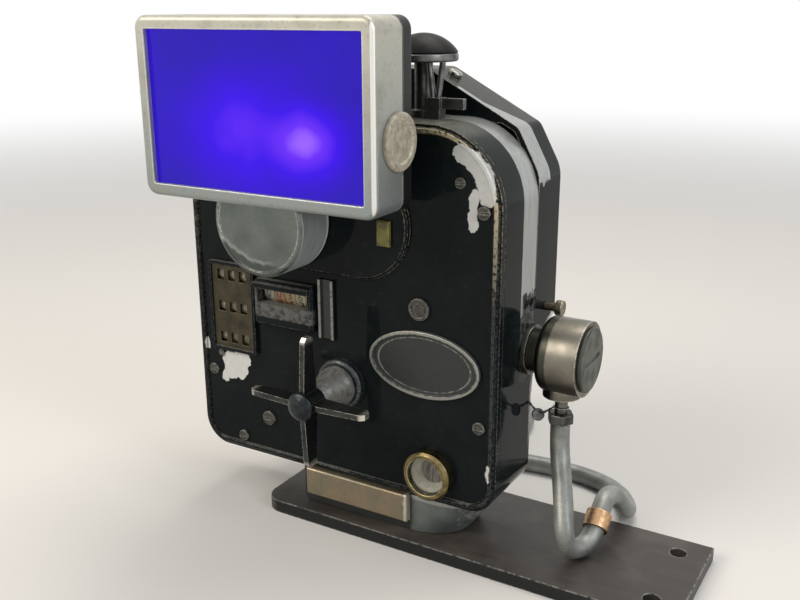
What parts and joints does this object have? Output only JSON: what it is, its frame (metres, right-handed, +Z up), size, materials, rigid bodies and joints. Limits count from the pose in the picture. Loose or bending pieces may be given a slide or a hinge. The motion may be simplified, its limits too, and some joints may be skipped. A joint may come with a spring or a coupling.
{
  "type": "taximeter",
  "caption": "Vintage mechanical taximeter: black enamelled case with fare windows, cross handle, swinging lit flag box and a side cable drive, standing on its mounting shelf.",
  "frame": {"origin": "underside of the mounting shelf, below the middle of the front cover's face", "axes": "+Z up, +X to the right as seen from the front, +Y from the front cover to the rear"},
  "size_m": [0.307, 0.2835, 0.294],
  "materials": {
    "black_enamel": "gloss black stove enamel, worn",
    "nickel": "worn nickel plate",
    "box_metal": "polished, silver grey",
    "lit_glass": "blue-violet sign glass, lit from behind",
    "clear_glass": "clear",
    "aged_brass": "aged, part plated",
    "worn_metal": "worn light grey metal",
    "works_steel": "clockwork, plain block",
    "bare_strip": "bare tan metal",
    "drum_white": "painted digit drums",
    "dark_paint": "dull dark paint",
    "shelf_board": "dark brown-grey painted board, streaked",
    "cable_sleeve": "dull grey flexible sleeve",
    "copper_band": "copper band"
  },
  "bodies": {
    "meter": {"mounting_shelf": "shelf_board", "case_foot": "worn_metal", "case_tub": "black_enamel", "front_cover": "black_enamel", "rear_cover": "black_enamel", "movement_block": "works_steel", "strip_plate": "bare_strip", "oval_badge": "nickel", "fare_frame": "black_enamel", "fare_glass": "clear_glass", "fare_drums": "drum_white", "window_rails": "nickel", "total_plate": "aged_brass", "total_frame": "black_enamel", "total_wheels": "drum_white", "dial_bezel": "aged_brass", "dial_glass": "clear_glass", "dial_face": "dark_paint", "handle_flange": "nickel", "stop_lug": "aged_brass", "cover_screws": "nickel", "ringed_plug": "nickel", "top_stem": "worn_metal", "top_ring": "worn_metal", "top_dome": "dark_paint", "fork_arm": "worn_metal", "gable_bolts": "nickel", "side_bolt": "aged_brass", "drive_flange": "worn_metal", "drive_housing": "worn_metal", "drive_cap": "dark_paint", "union_neck": "worn_metal", "union_nut": "worn_metal", "drive_cable": "cable_sleeve", "cable_coil": "cable_sleeve", "cable_end_nut": "worn_metal", "cable_clip": "copper_band"},
    "flag": {"flag_hub": "nickel", "flag_case": "box_metal", "flag_bezel": "box_metal", "flag_glass": "lit_glass", "lamp_cap": "aged_brass"},
    "handle": {"handle_hub": "nickel", "handle_arms": "nickel", "handle_cap": "nickel"}
  },
  "joints": [
    {"name": "flag_swing", "type": "hinge", "parent": "meter", "child": "flag", "pos_m": [-0.029, 0, 0.186], "axis": [0, -1, 0], "range_deg": [0, 90]},
    {"name": "handle_turn", "type": "hinge", "parent": "meter", "child": "handle", "pos_m": [0.004, 0, 0.0905], "axis": [0, -1, 0], "continuous": true}
  ]
}
